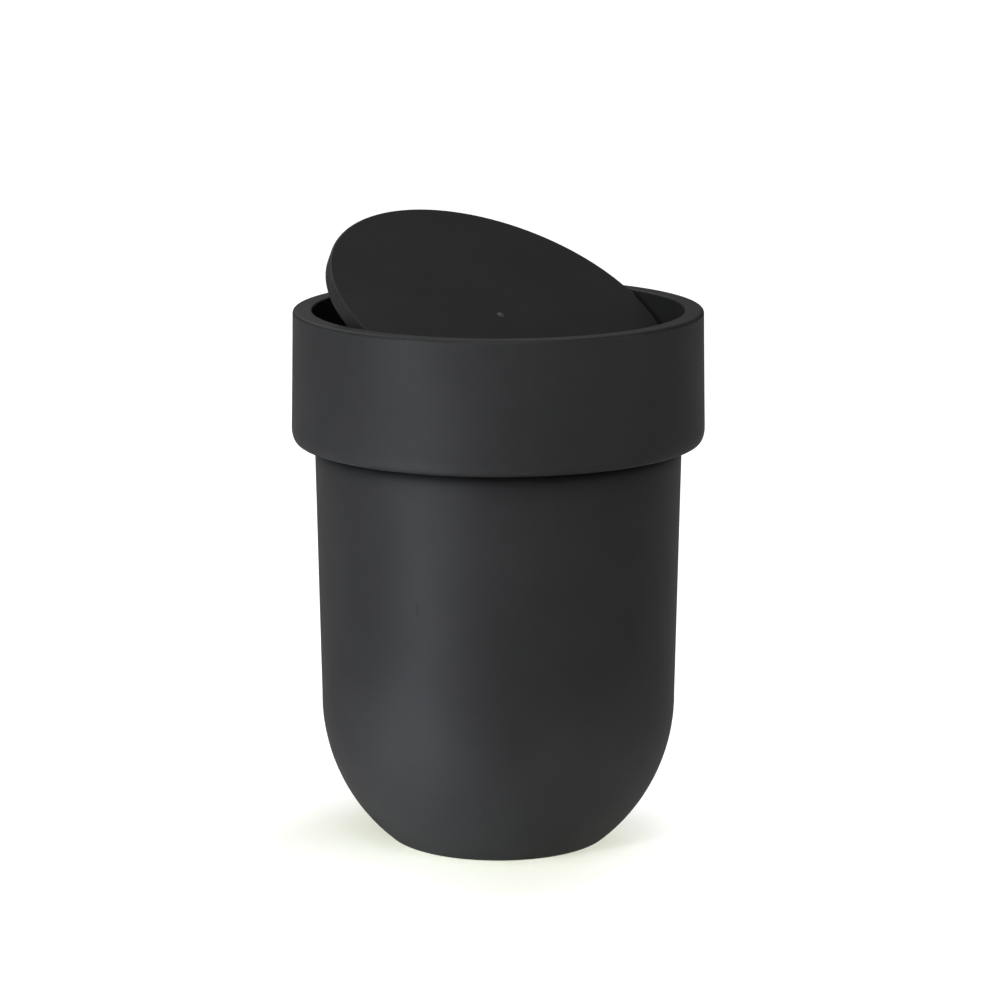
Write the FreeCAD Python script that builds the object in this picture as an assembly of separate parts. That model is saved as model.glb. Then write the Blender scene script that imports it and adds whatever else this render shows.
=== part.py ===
import FreeCAD, Part
import math
import os

# Bathroom bin with a lift-off ring and a swinging flap.
# Lengths are millimetres and angles are degrees, with +Z up.
# The origin is the middle of the base on the floor.
# The flap's hinge runs along X, and the flap stands open with its +Y side raised.

os.makedirs("parts", exist_ok=True)

# Bucket: round lower part, drafted wall, out-turned rim
bucket_height = 214.0
bucket_wall = 2.4
wall_start_z = 64.75
wall_start_radius = 82.32
wall_draft = 1.134
base_radius = 51.66
base_edge_lift = 0.8
base_recess = 1.6
base_floor = 2.6
standing_ring_width = 4.5
rim_width = 5.33
rim_thickness = 2.4
rim_lip_thickness = 2.0
rim_lip_depth = 8.0
rim_rounding = 0.8
rim_corner_rounding = 1.5
floor_corner_rounding = 4.0

# Lid ring: outer skirt, flat rim and inner wall in one moulding
ring_rise = 34.64
ring_drop = 25.91
ring_skirt_gap = 1.1
ring_skirt_thickness = 3.2
ring_skirt_draft = 1.0
ring_bore_step = 2.59
ring_inner_wall = 2.2
ring_top_thickness = 2.6
ring_lip_flat = 0.5
ring_lip_height = 6.2
ring_outer_rounding = 1.4
ring_bore_rounding = 0.8
ring_rib_count = 12
ring_rib_thickness = 2.0
ring_rib_clearance = 2.4
guide_clearance = 0.35
guide_length = 8.0

# Flap: disc with a skirt and ribs below
flap_open_angle = 27.8
flap_gap = 3.36
flap_depth = 7.1
flap_plate = 2.2
flap_skirt = 2.2
flap_edge_rounding = 1.0
flap_lower_rounding = 0.4
flap_rib_count = 12
flap_rib_thickness = 1.8
flap_rib_depth = 2.8
gate_mark_x = -4.0
gate_mark_y = -4.5
gate_mark_radius = 1.3
gate_mark_height = 0.6

# Pivots: plain pins pressed into the flap, turning in blind sockets in the ring
pin_radius = 2.0
pin_length = 14.0
pin_chamfer = 0.4
pin_running_clearance = 0.05
pin_end_clearance = 0.5
pin_under_plate = 0.2
pivot_block_wall = 1.6
pivot_block_side = 2.2
collar_wall = 1.0
collar_gap = 0.5
socket_wall = 2.5
socket_top_cover = 1.59
socket_end_cover = 1.4

# Counterweight: a steel disc in a cup under the flap, held by two screws
weight_radius = 24.0
weight_thickness = 4.2
weight_drop = 2.6
weight_clearance = 0.35
weight_chamfer = 0.5
cup_wall = 1.8
screw_offset = 13.0
screw_shank_radius = 1.5
screw_bite = 3.4
screw_head_radius = 2.8
screw_head_height = 1.9
screw_head_rounding = 0.9
screw_recess_width = 1.0
screw_recess_length = 3.0
screw_recess_depth = 1.0
screw_hole_clearance = 0.3
screw_post_wall = 2.1

# Shared by every cut and join, so that no two faces only graze each other
overrun = 1.0
sink = 0.4
same_place = 0.02
full_turn = 360.0

origin = FreeCAD.Vector(0, 0, 0)
along_x = FreeCAD.Vector(1, 0, 0)
along_y = FreeCAD.Vector(0, 1, 0)
along_z = FreeCAD.Vector(0, 0, 1)


def spot(radius, height):
    """A point of a turned outline."""
    return FreeCAD.Vector(radius, 0, height)


def straight_run(points):
    """Straight edges through a row of points."""
    return [Part.makeLine(a, b) for a, b in zip(points[:-1], points[1:])]


def turned(edges):
    """A solid turned about Z from the edges of a closed outline."""
    outline = Part.Wire(Part.__sortEdges__(edges))
    return Part.Face(outline).revolve(origin, along_z, full_turn)


def rounded(shape, radius, corners):
    """Round the circular edges that pass through the given corners of the outline."""
    chosen = []
    for edge in shape.Edges:
        if not isinstance(edge.Curve, Part.Circle):
            continue
        for corner in corners:
            off_radius = abs(edge.Curve.Radius - corner.x)
            off_height = abs(edge.Curve.Center.z - corner.z)
            if max(off_radius, off_height) < same_place:
                chosen.append(edge)
    return shape.makeFillet(radius, chosen)


def box(x_span, y_span, z_span):
    """A box between pairs of coordinates."""
    corner = FreeCAD.Vector(min(x_span), min(y_span), min(z_span))
    length = abs(x_span[1] - x_span[0])
    width = abs(y_span[1] - y_span[0])
    height = abs(z_span[1] - z_span[0])
    return Part.makeBox(length, width, height, corner)


def rod(radius, start, length, direction):
    """A round bar."""
    return Part.makeCylinder(radius, length, start, direction)


def spokes(shape, count):
    """Copies of one shape, spread evenly about Z and clear of the pivots."""
    pitch = full_turn / count
    copies = []
    for step in range(count):
        copy = shape.copy()
        copy.rotate(origin, along_z, (step + 0.5) * pitch)
        copies.append(copy)
    return copies


def swung_open(shape):
    """Carry a shape from the hinge's own place to its place in the bin."""
    shape.rotate(origin, along_x, flap_open_angle)
    shape.translate(along_z * hinge_z)
    return shape


# Bucket outline: the lower arc touches the wall and ends at the base edge
draft = math.radians(wall_draft)
side_run = wall_start_radius - base_radius
side_rise = wall_start_z - base_edge_lift
chord_square = side_run ** 2 + side_rise ** 2
arc_radius = chord_square / (side_run * math.cos(draft) - side_rise * math.sin(draft)) / 2
arc_centre_r = wall_start_radius - arc_radius * math.cos(draft)
arc_centre_z = wall_start_z + arc_radius * math.sin(draft)
inner_arc_radius = arc_radius - bucket_wall


def on_arc(radius, angle):
    """A point on the lower arc, with the angle measured down from level."""
    r = arc_centre_r + radius * math.cos(angle)
    z = arc_centre_z - radius * math.sin(angle)
    return spot(r, z)


def wall_radius(z):
    """Outer radius of the drafted wall."""
    return wall_start_radius + (z - wall_start_z) * math.tan(draft)


def lower_arc(radius, low_angle):
    """The lower arc from the base up to the start of the wall."""
    middle = on_arc(radius, (low_angle - draft) / 2)
    return Part.Arc(on_arc(radius, low_angle), middle, on_arc(radius, -draft)).toShape()


base_angle = math.asin((arc_centre_z - base_edge_lift) / arc_radius)
base_turn = math.pi / 2 - base_angle
base_edge_radius = base_edge_lift / (1 - math.cos(base_turn))
foot_radius = base_radius - base_edge_radius * math.sin(base_turn)
foot_middle = spot(
    foot_radius + base_edge_radius * math.sin(base_turn / 2),
    base_edge_radius * (1 - math.cos(base_turn / 2)),
)
recess_radius = foot_radius - standing_ring_width
floor_top = base_recess + base_floor
floor_angle = math.asin((arc_centre_z - floor_top) / inner_arc_radius)
rim_reach = wall_radius(bucket_height) + rim_width
rim_under_z = bucket_height - rim_thickness
rim_lip_z = bucket_height - rim_lip_depth
lip_inner_radius = rim_reach - rim_lip_thickness
mouth_radius = wall_radius(bucket_height) - bucket_wall / math.cos(draft)

foot = spot(foot_radius, 0)
floor_corner = on_arc(inner_arc_radius, floor_angle)
rim_corner = spot(wall_radius(rim_under_z), rim_under_z)
rim_edge = spot(rim_reach, bucket_height)
mouth = spot(mouth_radius, bucket_height)
base_edge = Part.Arc(foot, foot_middle, on_arc(arc_radius, base_angle)).toShape()
bucket_edges = [base_edge, lower_arc(arc_radius, base_angle)]
bucket_edges += straight_run([
    on_arc(arc_radius, -draft),
    rim_corner,
    spot(lip_inner_radius, rim_under_z),
    spot(lip_inner_radius, rim_lip_z),
    spot(rim_reach, rim_lip_z),
    rim_edge,
    mouth,
    on_arc(inner_arc_radius, -draft),
])
bucket_edges += [lower_arc(inner_arc_radius, floor_angle)]
bucket_edges += straight_run([
    floor_corner,
    spot(0, floor_top),
    spot(0, base_recess),
    spot(recess_radius, base_recess),
    spot(recess_radius, 0),
    foot,
])
bucket = turned(bucket_edges)
bucket = rounded(bucket, floor_corner_rounding, [floor_corner])
bucket = rounded(bucket, rim_corner_rounding, [rim_corner])
bucket = rounded(bucket, rim_rounding, [rim_edge, mouth])

# Lid ring outline: the skirt leans out as it goes down and rounds in at its lower edge
ring_top_z = bucket_height + ring_rise
ring_bottom_z = bucket_height - ring_drop
ring_under_z = ring_top_z - ring_top_thickness
ring_bore_radius = mouth_radius + ring_bore_step
wall_back_radius = ring_bore_radius + ring_inner_wall
lip_start_z = ring_bottom_z + ring_lip_height


def skirt_inside(z):
    """Inner radius of the ring's skirt."""
    lean = (bucket_height - z) * math.tan(math.radians(ring_skirt_draft))
    return rim_reach + ring_skirt_gap + lean


def skirt_outside(z):
    """Outer radius of the ring's skirt."""
    return skirt_inside(z) + ring_skirt_thickness


lip_side = spot(skirt_outside(lip_start_z), lip_start_z)
lip_foot = spot(skirt_inside(ring_bottom_z) + ring_lip_flat, ring_bottom_z)
lip_centre = spot(lip_foot.x, lip_start_z)
lip_curve = Part.Ellipse(lip_foot, lip_side, lip_centre)
ring_edge = spot(skirt_outside(ring_top_z), ring_top_z)
bore_edge = spot(ring_bore_radius, ring_top_z)
ring_edges = [Part.ArcOfEllipse(lip_curve, 0, math.pi / 2).toShape()]
ring_edges += straight_run([
    lip_side,
    ring_edge,
    bore_edge,
    spot(ring_bore_radius, bucket_height),
    spot(wall_back_radius, bucket_height),
    spot(wall_back_radius, ring_under_z),
    spot(skirt_inside(ring_under_z), ring_under_z),
    spot(skirt_inside(ring_bottom_z), ring_bottom_z),
    lip_foot,
])
lid_ring = turned(ring_edges)
lid_ring = rounded(lid_ring, ring_outer_rounding, [ring_edge])
lid_ring = rounded(lid_ring, ring_bore_rounding, [bore_edge])

# Ribs inside the ring: webs above the bucket's rim, guides beside it
rib_turn_z = bucket_height + ring_rib_clearance
rib_top_z = ring_under_z + sink
rib_back = wall_back_radius - sink
guide_radius = rim_reach + guide_clearance
guide_low_z = bucket_height - guide_length
rib_edges = straight_run([
    spot(rib_back, rib_top_z),
    spot(skirt_inside(rib_top_z) + sink, rib_top_z),
    spot(skirt_inside(guide_low_z) + sink, guide_low_z),
    spot(guide_radius, guide_low_z),
    spot(guide_radius, rib_turn_z),
    spot(rib_back, rib_turn_z),
    spot(rib_back, rib_top_z),
])
rib = Part.Face(Part.Wire(rib_edges)).extrude(along_y * ring_rib_thickness)
rib.translate(along_y * (-ring_rib_thickness / 2))
lid_ring = lid_ring.fuse(spokes(rib, ring_rib_count))

# Sockets for the pins: a solid block in the ring's hollow at each end of the hinge
socket_radius = pin_radius + pin_running_clearance
hinge_z = ring_top_z - socket_top_cover - socket_radius
block_radius = socket_radius + socket_wall
block_start = wall_back_radius - sink
block_end = skirt_inside(hinge_z) + sink
socket_end = skirt_inside(hinge_z) - socket_end_cover
for facing in (along_x, -along_x):
    start = facing * block_start + along_z * hinge_z
    block = rod(block_radius, start, block_end - block_start, facing)
    above = box(
        (facing.x * block_start, facing.x * block_end),
        (-block_radius, block_radius),
        (rib_top_z, hinge_z + block_radius + overrun),
    )
    lid_ring = lid_ring.fuse(block.cut(above))
for facing in (along_x, -along_x):
    start = facing * (ring_bore_radius - overrun) + along_z * hinge_z
    socket = rod(socket_radius, start, socket_end - ring_bore_radius + overrun, facing)
    lid_ring = lid_ring.cut(socket)
lid_ring = lid_ring.removeSplitter()

# Flap, drawn closed with the hinge at the origin
flap_radius = ring_bore_radius - flap_gap
flap_under = pin_radius + pin_under_plate
flap_top = flap_under + flap_plate
flap_low = flap_top - flap_depth
skirt_inner_radius = flap_radius - flap_skirt
flap_edge = spot(flap_radius, flap_top)
skirt_edge = spot(flap_radius, flap_low)
skirt_inner_edge = spot(skirt_inner_radius, flap_low)
flap = turned(straight_run([
    spot(0, flap_top),
    flap_edge,
    skirt_edge,
    skirt_inner_edge,
    spot(skirt_inner_radius, flap_under),
    spot(0, flap_under),
    spot(0, flap_top),
]))
flap = rounded(flap, flap_edge_rounding, [flap_edge])
flap = rounded(flap, flap_lower_rounding, [skirt_edge, skirt_inner_edge])

# Cup for the counterweight, with a post for each screw
weight_top = flap_under - weight_drop
weight_low = weight_top - weight_thickness
cup_bore = weight_radius + weight_clearance
cup_outside = cup_bore + cup_wall
cup_low = weight_low + weight_thickness / 2
cup_top = flap_under + sink
cup = turned(straight_run([
    spot(cup_bore, cup_top),
    spot(cup_outside, cup_top),
    spot(cup_outside, cup_low),
    spot(cup_bore, cup_low),
    spot(cup_bore, cup_top),
]))
screw_places = {"weight_screw_right": screw_offset, "weight_screw_left": -screw_offset}
post_radius = screw_shank_radius + screw_post_wall
posts = []
for x in screw_places.values():
    post_start = FreeCAD.Vector(x, 0, weight_top)
    posts.append(rod(post_radius, post_start, cup_top - weight_top, along_z))

# Stiffening ribs from the cup to the skirt
flap_rib = box(
    (cup_outside - sink, skirt_inner_radius + sink),
    (-flap_rib_thickness / 2, flap_rib_thickness / 2),
    (flap_under - flap_rib_depth, flap_under + sink),
)
flap = flap.fuse([cup] + posts + spokes(flap_rib, flap_rib_count))

# Pivot blocks behind the skirt and collars outside it
pin_outer = socket_end - pin_end_clearance
pin_inner = pin_outer - pin_length
pivot_half_width = pin_radius + pivot_block_side
pivot_low = -pin_radius - pivot_block_wall
collar_radius = pin_radius + collar_wall
collar_start = skirt_inner_radius + sink
collar_end = ring_bore_radius - collar_gap
for facing in (along_x, -along_x):
    block = box(
        (facing.x * pin_inner, facing.x * collar_start),
        (-pivot_half_width, pivot_half_width),
        (pivot_low, flap_under + sink),
    )
    collar = rod(collar_radius, facing * collar_start, collar_end - collar_start, facing)
    flap = flap.fuse([block, collar])
for facing in (along_x, -along_x):
    hole_start = facing * (pin_inner - overrun)
    hole_length = collar_end - pin_inner + 2 * overrun
    flap = flap.cut(rod(pin_radius, hole_start, hole_length, facing))

# Holes for the screws, and the moulding mark on top
for x in screw_places.values():
    hole_start = FreeCAD.Vector(x, 0, weight_top - overrun)
    flap = flap.cut(rod(screw_shank_radius, hole_start, screw_bite + overrun, along_z))
mark_ball = (gate_mark_radius ** 2 + gate_mark_height ** 2) / gate_mark_height / 2
mark_drop = mark_ball - gate_mark_height
mark_centre = FreeCAD.Vector(gate_mark_x, gate_mark_y, flap_top - mark_drop)
mark_latitude = math.degrees(math.asin((mark_drop - sink) / mark_ball))
mark = Part.makeSphere(mark_ball, mark_centre, along_z, mark_latitude, full_turn / 4, full_turn)
flap = flap.fuse(mark).removeSplitter()

# Pins
pins = {}
for name, facing in (("pivot_pin_right", along_x), ("pivot_pin_left", -along_x)):
    pin = rod(pin_radius, facing * pin_inner, pin_length, facing)
    pin_rims = [edge for edge in pin.Edges if edge.isClosed()]
    pins[name] = pin.makeChamfer(pin_chamfer, pin_rims)

# Counterweight and its screws
counterweight = rod(weight_radius, along_z * weight_low, weight_thickness, along_z)
weight_rims = [edge for edge in counterweight.Edges if edge.isClosed()]
counterweight = counterweight.makeChamfer(weight_chamfer, weight_rims)
screw_hole_radius = screw_shank_radius + screw_hole_clearance
head_low = weight_low - screw_head_height
shank_length = weight_thickness + screw_bite
recess_z = (head_low - overrun, head_low + screw_recess_depth)
half_long = screw_recess_length / 2
half_wide = screw_recess_width / 2
screws = {}
for name, x in screw_places.items():
    hole_start = FreeCAD.Vector(x, 0, weight_low - overrun)
    hole_length = weight_thickness + 2 * overrun
    counterweight = counterweight.cut(rod(screw_hole_radius, hole_start, hole_length, along_z))
    head = rod(screw_head_radius, FreeCAD.Vector(x, 0, head_low), screw_head_height, along_z)
    head_rim = [edge for edge in head.Edges if edge.BoundBox.ZMax < weight_low - sink]
    head = head.makeFillet(screw_head_rounding, head_rim)
    shank_start = FreeCAD.Vector(x, 0, weight_low - sink)
    shank = rod(screw_shank_radius, shank_start, shank_length + sink, along_z)
    slot_long = box((x - half_long, x + half_long), (-half_wide, half_wide), recess_z)
    slot_wide = box((x - half_wide, x + half_wide), (-half_long, half_long), recess_z)
    screws[name] = head.fuse(shank).cut(slot_long.fuse(slot_wide)).removeSplitter()

# Everything on the hinge goes to its open place, then each piece is written
pieces = {"bucket": bucket, "lid_ring": lid_ring}
pieces["flap"] = swung_open(flap)
pieces["counterweight"] = swung_open(counterweight)
for name, shape in {**pins, **screws}.items():
    pieces[name] = swung_open(shape)
for name, shape in pieces.items():
    solid = shape.Solids[0]
    solid.exportStep("parts/" + name + ".step")
    print(name, len(shape.Solids), "solid, valid", solid.isValid(), "volume", round(solid.Volume))
print("ring top", round(ring_top_z, 2), "bore", round(ring_bore_radius, 2))
print("ring radii", round(ring_edge.x, 2), round(lip_side.x, 2), "flap radius", round(flap_radius, 2))
print("hinge height", round(hinge_z, 2), "lower arc", round(arc_radius, 2))
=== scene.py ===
# %% [markdown]
# # A bathroom bin with a swinging flap
# The bin is three large mouldings in charcoal soft-touch plastic: a bucket with a round
# lower part, a wider ring that lifts off, and a flap that swings in the ring.
# Under the flap are a steel counterweight, its two screws and two pivot pins.
# The solids come ready in model.glb, so this lesson is about finish, light and camera.

# %% Load the solids
import math

import bpy
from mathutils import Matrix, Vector

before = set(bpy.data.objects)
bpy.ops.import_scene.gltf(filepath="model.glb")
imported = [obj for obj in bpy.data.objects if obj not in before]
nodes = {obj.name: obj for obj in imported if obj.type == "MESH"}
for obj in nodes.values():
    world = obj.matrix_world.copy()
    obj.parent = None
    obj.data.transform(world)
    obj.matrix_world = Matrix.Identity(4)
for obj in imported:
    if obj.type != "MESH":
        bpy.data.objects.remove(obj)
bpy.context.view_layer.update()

millimetre = 0.001
print("pieces", sorted(nodes))

# %% [markdown]
# ## Camera
# A long lens from a little above keeps the ring's rim a thin ellipse.
# The camera could be set by hand, but here its place is worked out from four readable
# values: how far round the bin it stands, how high, how far away, and what it looks at.
# Azimuth 0 looks along +Y, and a negative azimuth moves the camera to the left.

# %% Place the camera
camera_azimuth = math.radians(-42.0)
camera_elevation = math.radians(11.7)
camera_distance = 1.8
look_height = 0.15875
lens = 139.83
sideways_share = 0.0017
look_at = Vector((0, 0, look_height))


def around(azimuth, elevation, distance):
    """A point round the bin, seen from the height that the camera looks at."""
    level = math.cos(elevation) * distance
    x = math.sin(azimuth) * level
    y = -math.cos(azimuth) * level
    return look_at + Vector((x, y, math.sin(elevation) * distance))


def aim(thing, place, target):
    """Stand a lamp or camera at a place and turn it to its target."""
    thing.location = place
    thing.rotation_euler = (target - place).to_track_quat("-Z", "Y").to_euler()


camera_data = bpy.data.cameras.new("camera")
camera = bpy.data.objects.new("camera", camera_data)
bpy.context.scene.collection.objects.link(camera)
camera_data.lens = lens
camera_data.shift_x = sideways_share
aim(camera, around(camera_azimuth, camera_elevation, camera_distance), look_at)
bpy.context.scene.camera = camera
print("camera at", [round(value, 3) for value in camera.location])

# %% [markdown]
# ## Helpers for materials
# Colours are written as the hex values that a designer would pick, and one function
# turns them into the linear numbers that the shader works with.
# A second function adds a node, sets it up and links it, so that each material below
# reads as a short list of what its surface is made of. Most inputs have a name. Where two
# share one, as on a node that mixes colours, they are given by number.

# %% Colour and node helpers
mix_first = 6
mix_second = 7
mix_result = 2


def linear(hex_colour):
    """An sRGB hex colour as linear red, green, blue and alpha, by the sRGB standard."""
    channels = [int(hex_colour[start:start + 2], 16) / 255 for start in (1, 3, 5)]
    low = [value / 12.92 for value in channels]
    high = [((value + 0.055) / 1.055) ** 2.4 for value in channels]
    return [h if value > 0.04045 else l for value, l, h in zip(channels, low, high)] + [1]


def add_node(material, kind, settings=None, numbered=None, **named):
    """Add a node; an input that is given as an output socket is linked, else set."""
    node = material.node_tree.nodes.new(kind)
    for name, value in (settings or {}).items():
        setattr(node, name, value)
    inputs = dict(numbered or {})
    for name, value in named.items():
        inputs[name.replace("_", " ")] = value
    for key, value in inputs.items():
        if isinstance(value, bpy.types.NodeSocket):
            material.node_tree.links.new(value, node.inputs[key])
        else:
            node.inputs[key].default_value = value
    return node


def new_material(name):
    """An empty node material and its output node."""
    material = bpy.data.materials.new(name)
    material.use_nodes = True
    material.node_tree.nodes.clear()
    return material, material.node_tree.nodes.new("ShaderNodeOutputMaterial")


print("half grey is", round(linear("#808080")[0], 3), "in linear light")

# %% [markdown]
# ## Painted shade in the nook under the ring
# On the real bin the nook under the ring is almost black, in the ring's shadow. Here the
# floor glows, and its mirror image would fill the nook, so that shade is painted in: the
# plastic is painted darker and its coat is turned down there.
# The dark band could be painted by height, but then it would stay behind when the ring is
# lifted off. A node that feels for near surfaces follows the ring instead. It counts from
# a height up on the bucket, so that the floor doesn't darken the foot, and from a height
# down on the ring. Each pair of heights is where it starts to count and where it does so
# fully.

# %% Find where the shade is painted in the nook
# These set where the shade in the nook under the ring is painted.
painted_shade_reach = 16 * millimetre
painted_shade_starts = 0.92
painted_shade_full = 0.74
feeler_rays = 16
painted_shade_on_bucket = (150 * millimetre, 165 * millimetre)
painted_shade_on_ring = (196 * millimetre, 191 * millimetre)


def painted_shade_share(material, place, heights):
    """How much shade is painted on a spot: 0 in the open, 1 fully shut in under the ring."""
    height = add_node(material, "ShaderNodeSeparateXYZ", Vector=place).outputs["Z"]
    feeler = add_node(
        material, "ShaderNodeAmbientOcclusion", {"samples": feeler_rays}, Distance=painted_shade_reach
    )
    shut_in = add_node(
        material, "ShaderNodeMapRange", {"interpolation_type": "SMOOTHSTEP"},
        Value=feeler.outputs["AO"], From_Min=painted_shade_starts, From_Max=painted_shade_full,
    )
    painted_nook_shade = add_node(
        material, "ShaderNodeMapRange", Value=height, From_Min=heights[0],
        From_Max=heights[1], To_Min=0.0, To_Max=shut_in.outputs["Result"],
    )
    return painted_nook_shade.outputs["Result"]


print("the nook is felt over", painted_shade_reach, "m")

# %% [markdown]
# ## Tones of the plastic
# Polypropylene that is coloured right through is one even charcoal. Handling leaves broad
# patches that are a little paler, and faint dark hairline scuffs. Round the small mark
# where the plastic entered the flap's mould, a paler tone is painted in as a highlight.
# All this could be painted on a picture, but noises and one distance give it at any size.
# The scuffs are a noise that is stretched along one direction and cut off at a high level.

# %% Mix the tones
charcoal = "#222222"
charcoal_handled = "#262626"
charcoal_scuffed = "#181818"
# Painted shade for the nook under the ring, not a colour the plastic has.
painted_shade_tone = "#0c0c0c"
# A painted highlight round the flap's mould mark.
painted_highlight_tone = "#444444"
scuff_length = 30 * millimetre
scuff_width = 1.2 * millimetre
scuff_turn = (0.3, 0.9, 0.5)
scuff_detail = 2.0
scuff_starts = 0.74
scuff_full = 0.82
mark_place = Vector((-4.1, -6.2, 246.9)) * millimetre
painted_highlight_core = 0.8 * millimetre
painted_highlight_edge = 2.2 * millimetre


def plastic_tone(material, place, patches, painted_nook_shade):
    """The plastic's colour, handled and scuffed, with painted shade and a painted highlight."""
    handled = add_node(
        material, "ShaderNodeMix", {"data_type": "RGBA"},
        {mix_first: linear(charcoal), mix_second: linear(charcoal_handled)}, Factor=patches,
    )
    along = add_node(
        material, "ShaderNodeMapping", Vector=place, Rotation=scuff_turn,
        Scale=(1 / scuff_width, 1 / scuff_length, 1 / scuff_length),
    )
    streaks = add_node(
        material, "ShaderNodeTexNoise", Vector=along.outputs["Vector"], Scale=1.0,
        Detail=scuff_detail,
    )
    scuffs = add_node(
        material, "ShaderNodeMapRange", Value=streaks.outputs["Fac"],
        From_Min=scuff_starts, From_Max=scuff_full,
    )
    scuffed = add_node(
        material, "ShaderNodeMix", {"data_type": "RGBA"},
        {mix_first: handled.outputs[mix_result], mix_second: linear(charcoal_scuffed)},
        Factor=scuffs.outputs["Result"],
    )
    # Paint the shade in the nook under the ring.
    with_painted_shade = add_node(
        material, "ShaderNodeMix", {"data_type": "RGBA"},
        {mix_first: scuffed.outputs[mix_result], mix_second: linear(painted_shade_tone)},
        Factor=painted_nook_shade,
    )
    from_mark = add_node(
        material, "ShaderNodeVectorMath", {"operation": "DISTANCE"}, {0: place, 1: mark_place}
    )
    # Paint a pale highlight round the mould mark.
    painted_highlight = add_node(
        material, "ShaderNodeMapRange", Value=from_mark.outputs["Value"],
        From_Min=painted_highlight_edge, From_Max=painted_highlight_core,
    )
    with_painted_highlight = add_node(
        material, "ShaderNodeMix", {"data_type": "RGBA"},
        {mix_first: with_painted_shade.outputs[mix_result], mix_second: linear(painted_highlight_tone)},
        Factor=painted_highlight.outputs["Result"],
    )
    return with_painted_highlight.outputs[mix_result]


print("charcoal", charcoal, "with four tones beside it")

# %% [markdown]
# ## Soft-touch moulded polypropylene
# The three mouldings have a soft-touch finish: a thin matt coat over the charcoal plastic.
# The coat is very finely pitted, so its highlight is wide and dull, and an edge that is
# seen at a slant hardly lifts. The shader's own gloss would lift there, so that is turned
# off, and all the shine comes from its coat at part weight.
# The pits could be modelled as real bumps, but a noise in the bump socket is lighter and
# looks the same. A broad noise stands for the patches that handling leaves in the gloss.
# The real grain is about 0.1 mm. It is drawn three times coarser so that it shows.

# %% Make the soft-touch plastic
plastic_roughness = 0.6
coat_ior = 1.49
coat_roughness = 0.47
dull_coat_share = 0.19
bright_coat_share = 0.25
coat_in_painted_shade = 0.02
grain_size = 0.3 * millimetre
grain_depth = 0.02 * millimetre
grain_strength = 0.3
grain_detail = 3.0
patch_size = 28 * millimetre
patch_detail = 4.0


def soft_touch_plastic(name, painted_shade_heights):
    """Charcoal polypropylene, etched grain, thin matt coat and painted shade under the ring."""
    material, output = new_material(name)
    place = add_node(material, "ShaderNodeTexCoord").outputs["Object"]
    painted_nook_shade = painted_shade_share(material, place, painted_shade_heights)
    grain = add_node(
        material, "ShaderNodeTexNoise", Vector=place, Scale=1 / grain_size, Detail=grain_detail
    )
    patches = add_node(
        material, "ShaderNodeTexNoise", Vector=place, Scale=1 / patch_size, Detail=patch_detail
    ).outputs["Fac"]
    shine = add_node(
        material, "ShaderNodeMapRange", Value=patches,
        To_Min=dull_coat_share, To_Max=bright_coat_share,
    )
    # The coat is turned down in the nook too, as part of the painted shade.
    coat = add_node(
        material, "ShaderNodeMapRange", Value=painted_nook_shade,
        To_Min=shine.outputs["Result"], To_Max=coat_in_painted_shade,
    )
    bump = add_node(
        material, "ShaderNodeBump", Height=grain.outputs["Fac"], Strength=grain_strength,
        Distance=grain_depth,
    )
    skin = add_node(
        material, "ShaderNodeBsdfPrincipled",
        Base_Color=plastic_tone(material, place, patches, painted_nook_shade),
        Roughness=plastic_roughness, Specular_IOR_Level=0.0, Normal=bump.outputs["Normal"],
        Coat_Weight=coat.outputs["Result"], Coat_Roughness=coat_roughness,
        Coat_IOR=coat_ior, Coat_Normal=bump.outputs["Normal"],
    )
    material.node_tree.links.new(skin.outputs["BSDF"], output.inputs["Surface"])
    return material


bucket_plastic = soft_touch_plastic("soft_touch_polypropylene_bucket", painted_shade_on_bucket)
lid_plastic = soft_touch_plastic("soft_touch_polypropylene_lid", painted_shade_on_ring)
nodes["bucket"].material_slots[0].material = bucket_plastic
for name in ("lid_ring", "flap"):
    nodes[name].material_slots[0].material = lid_plastic
print("made", bucket_plastic.name, lid_plastic.name)

# %% [markdown]
# ## Steel under the flap
# The pivot pins are ground steel, so fine marks run round them. The counterweight and its
# screws are zinc-plated: a paler, bluish metal with a soft cloudy gloss.
# Both are metals, so the colour is the colour of the reflection. One function makes them,
# because only the colour, the gloss and the size of the marks differ. The marks are one
# noise, squeezed along the pin for the ground steel and left round for the zinc.
# Real grinding marks are about 0.05 mm wide. They are drawn coarser so that they show.

# %% Make the two steels
grinding_marks = (0.25 * millimetre, 6 * millimetre, 6 * millimetre)
zinc_clouds = (2.5 * millimetre, 2.5 * millimetre, 2.5 * millimetre)
steel_detail = 5.0


def steel(name, bright, dull, mark_sizes, smooth, rough):
    """A metal whose colour and gloss wander with one noise."""
    material, output = new_material(name)
    place = add_node(material, "ShaderNodeTexCoord").outputs["Object"]
    sized = add_node(
        material, "ShaderNodeMapping", Vector=place, Scale=[1 / size for size in mark_sizes]
    )
    marks = add_node(
        material, "ShaderNodeTexNoise", Vector=sized.outputs["Vector"], Scale=1.0,
        Detail=steel_detail,
    )
    tone = add_node(
        material, "ShaderNodeMix", {"data_type": "RGBA"},
        {mix_first: linear(bright), mix_second: linear(dull)}, Factor=marks.outputs["Fac"],
    )
    gloss = add_node(
        material, "ShaderNodeMapRange", Value=marks.outputs["Fac"], To_Min=smooth, To_Max=rough
    )
    metal = add_node(
        material, "ShaderNodeBsdfPrincipled", Base_Color=tone.outputs[mix_result],
        Metallic=1.0, Roughness=gloss.outputs["Result"],
    )
    material.node_tree.links.new(metal.outputs["BSDF"], output.inputs["Surface"])
    return material


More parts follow.
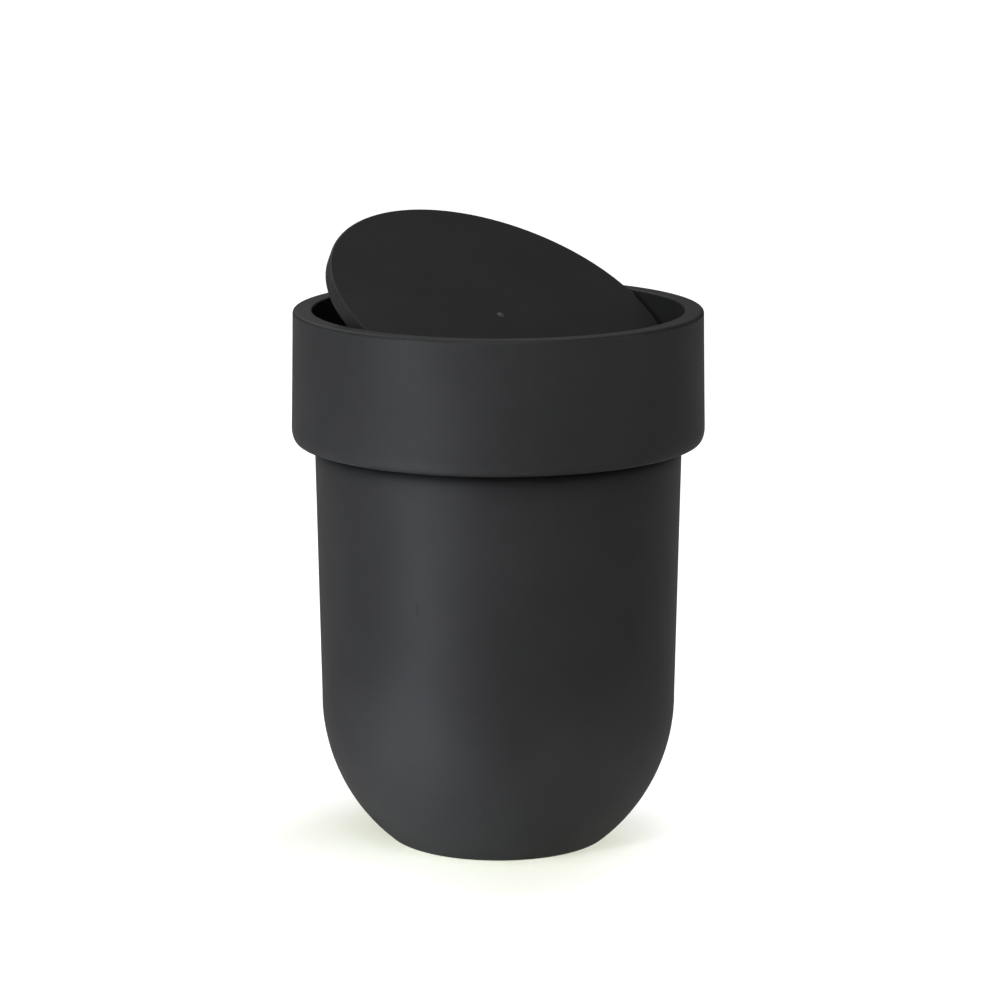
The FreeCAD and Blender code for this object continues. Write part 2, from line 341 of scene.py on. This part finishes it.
ground_steel = steel(
    "ground_steel", bright="#c9c8c4", dull="#aeada9", mark_sizes=grinding_marks,
    smooth=0.2, rough=0.34,
)
zinc_plated_steel = steel(
    "zinc_plated_steel", bright="#c4c8cc", dull="#a3a7ab", mark_sizes=zinc_clouds,
    smooth=0.3, rough=0.5,
)
for name in ("pivot_pin_left", "pivot_pin_right"):
    nodes[name].material_slots[0].material = ground_steel
for name in ("counterweight", "weight_screw_left", "weight_screw_right"):
    nodes[name].material_slots[0].material = zinc_plated_steel
print("made", ground_steel.name, zinc_plated_steel.name)

# %% [markdown]
# ## Floor
# The bin stands on a plain white sweep. It could curve up behind the bin as a paper roll
# does, but a flat sheet that is wide enough fills the picture from every side.

# %% Lay the floor
floor_size = 24.0
bpy.ops.object.select_all(action="DESELECT")
bpy.ops.mesh.primitive_plane_add(size=floor_size)
floor = bpy.context.object
floor.name = "floor"
print("floor", floor_size, "m")

# %% [markdown]
# ## White paper
# White paper alone would need far more light than the bin should get. So the sweep glows
# to the camera and to reflections, fully white at a distance. Round the foot the glow is
# dimmer and tinted, and the lamps make up the rest: this paints a soft shadow there, and
# the real shadow of the bin shows in it too. The painted shadow lies a little to the left,
# because the lamps light the floor most there.

# %% Make the paper
# Where the floor's glow is dimmed to paint a soft shadow by the foot.
painted_shadow_turn = -35
painted_shadow_shift = 0.035
painted_shadow_reach = 0.03
white_reach = 0.14
paper_grey = "#909090"
# A dim, tinted glow that paints the shadow round the foot.
glow_in_painted_shadow = "#a6a88c"
glow_beyond = "#ffffff"
painted_shadow_azimuth = camera_azimuth + math.radians(painted_shadow_turn)
painted_shadow_centre = around(painted_shadow_azimuth, 0, painted_shadow_shift) - look_at
material, output = new_material("white_paper_sweep")
paper = add_node(material, "ShaderNodeBsdfDiffuse", Color=linear(paper_grey))
place = add_node(material, "ShaderNodeTexCoord").outputs["Object"]
away = add_node(
    material, "ShaderNodeVectorMath", {"operation": "DISTANCE"}, {0: place, 1: painted_shadow_centre}
)
whiter = add_node(
    material, "ShaderNodeMapRange", {"interpolation_type": "SMOOTHSTEP"},
    Value=away.outputs["Value"], From_Min=painted_shadow_reach, From_Max=white_reach,
)
glow_colour = add_node(
    material, "ShaderNodeMix", {"data_type": "RGBA"},
    {mix_first: linear(glow_in_painted_shadow), mix_second: linear(glow_beyond)},
    Factor=whiter.outputs["Result"],
)
rays = add_node(material, "ShaderNodeLightPath").outputs
seen_directly = add_node(
    material, "ShaderNodeMath", {"operation": "MAXIMUM"},
    {0: rays["Is Camera Ray"], 1: rays["Is Transmission Ray"]},
)
seen = add_node(
    material, "ShaderNodeMath", {"operation": "MAXIMUM"},
    {0: seen_directly.outputs["Value"], 1: rays["Is Glossy Ray"]},
)
glow = add_node(
    material, "ShaderNodeEmission", Color=glow_colour.outputs[mix_result],
    Strength=seen.outputs["Value"],
)
both = add_node(
    material, "ShaderNodeAddShader", None, {0: paper.outputs["BSDF"], 1: glow.outputs["Emission"]}
)
material.node_tree.links.new(both.outputs["Shader"], output.inputs["Surface"])
floor.data.materials.append(material)
print("made", material.name)

# %% [markdown]
# ## Soft boxes
# A photographer lights matt black plastic with large soft boxes, because it shows little
# but their reflections. Here a cool panel on the left makes the upright highlight, and a
# box above the camera lights the flap and throws the shadow under the ring. A box on the
# right and a high one behind keep the other sides readable, and a low strip at the back
# gives the flat rim its gleam. The room itself is dim.
# One bright surrounding would be simpler, but it would wash the highlight out.
# Each box is given by its turn from the camera, its height as an angle, and its distance.

# %% Hang the soft boxes
room_level = 0.1
neutral_white = "#ffffff"
cool_white = "#f2f7ff"
world = bpy.data.worlds.new("dim_room")
world.use_nodes = True
bpy.context.scene.world = world
backdrop = world.node_tree.nodes["Background"]
backdrop.inputs["Color"].default_value = linear(neutral_white)
backdrop.inputs["Strength"].default_value = room_level


def new_lamp(name, shape, power, colour):
    """An area lamp that still has to be sized and aimed."""
    data = bpy.data.lights.new(name, "AREA")
    data.shape = shape
    data.energy = power
    data.color = linear(colour)[:3]
    lamp = bpy.data.objects.new(name, data)
    bpy.context.scene.collection.objects.link(lamp)
    return lamp


def soft_box(name, turn, elevation, distance, width, height, power, colour=neutral_white):
    """A soft box that faces the bin."""
    lamp = new_lamp(name, "RECTANGLE", power, colour)
    lamp.data.size = width
    lamp.data.size_y = height
    azimuth = camera_azimuth + math.radians(turn)
    aim(lamp, around(azimuth, math.radians(elevation), distance), look_at)
    print("box", name, power, "W")


soft_box(
    "left_panel", turn=-43, elevation=13.5, distance=0.9, width=0.7, height=0.72,
    power=6.0, colour=cool_white,
)
soft_box("upper_box", turn=-5, elevation=52, distance=1.5, width=0.8, height=0.7, power=13.5)
soft_box("right_box", turn=70, elevation=20, distance=1.5, width=0.65, height=1.0, power=5.5)
soft_box("back_box", turn=-150, elevation=45, distance=1.6, width=1.0, height=1.0, power=12.0)
soft_box("rim_strip", turn=180, elevation=22, distance=2.2, width=1.6, height=0.5, power=2.5)

# %% [markdown]
# ## Pools of light on the floor
# The camera looks down on an upright wall, so the wall mirrors the floor more than the
# panel. Three narrow lamps brighten the floor in a row towards the panel, the further out
# the wider, so that the highlight runs down to the foot as one band. A weak one on the
# right lifts the shaded side of the foot. The floor out there is white already, so its
# pools don't show.
# The two lamps that point at the foot lean far outwards, to shine in under the round part.

# %% Light the floor
pool_distance = 0.9


def floor_pool(name, turn, reach, patch, power, lean=0, colour=neutral_white):
    """A narrow lamp on a round patch of floor."""
    lamp = new_lamp(name, "DISK", power, colour)
    lamp.data.size = patch
    lamp.data.spread = 2 * math.atan(patch / 2 / pool_distance)
    azimuth = camera_azimuth + math.radians(turn)
    outwards = around(azimuth, 0, 1) - look_at
    spot = outwards * reach
    tilt = math.radians(lean)
    upwards = Vector((0, 0, math.cos(tilt))) + outwards * math.sin(tilt)
    aim(lamp, spot + upwards * pool_distance, spot)
    print("pool", name, power, "W")


floor_pool(
    "near_pool", turn=-36, reach=0.075, patch=0.11, power=0.105, lean=65, colour=cool_white
)
floor_pool("middle_pool", turn=-43, reach=0.38, patch=0.21, power=5.1, colour=cool_white)
floor_pool("far_pool", turn=-51, reach=0.85, patch=0.36, power=14.0, colour=cool_white)
floor_pool("right_pool", turn=35, reach=0.075, patch=0.11, power=0.032, lean=65)

# %% [markdown]
# ## Finish
# The standard view transform shows colours as they are written.

# %% Finish
bpy.context.scene.view_settings.view_transform = "Standard"
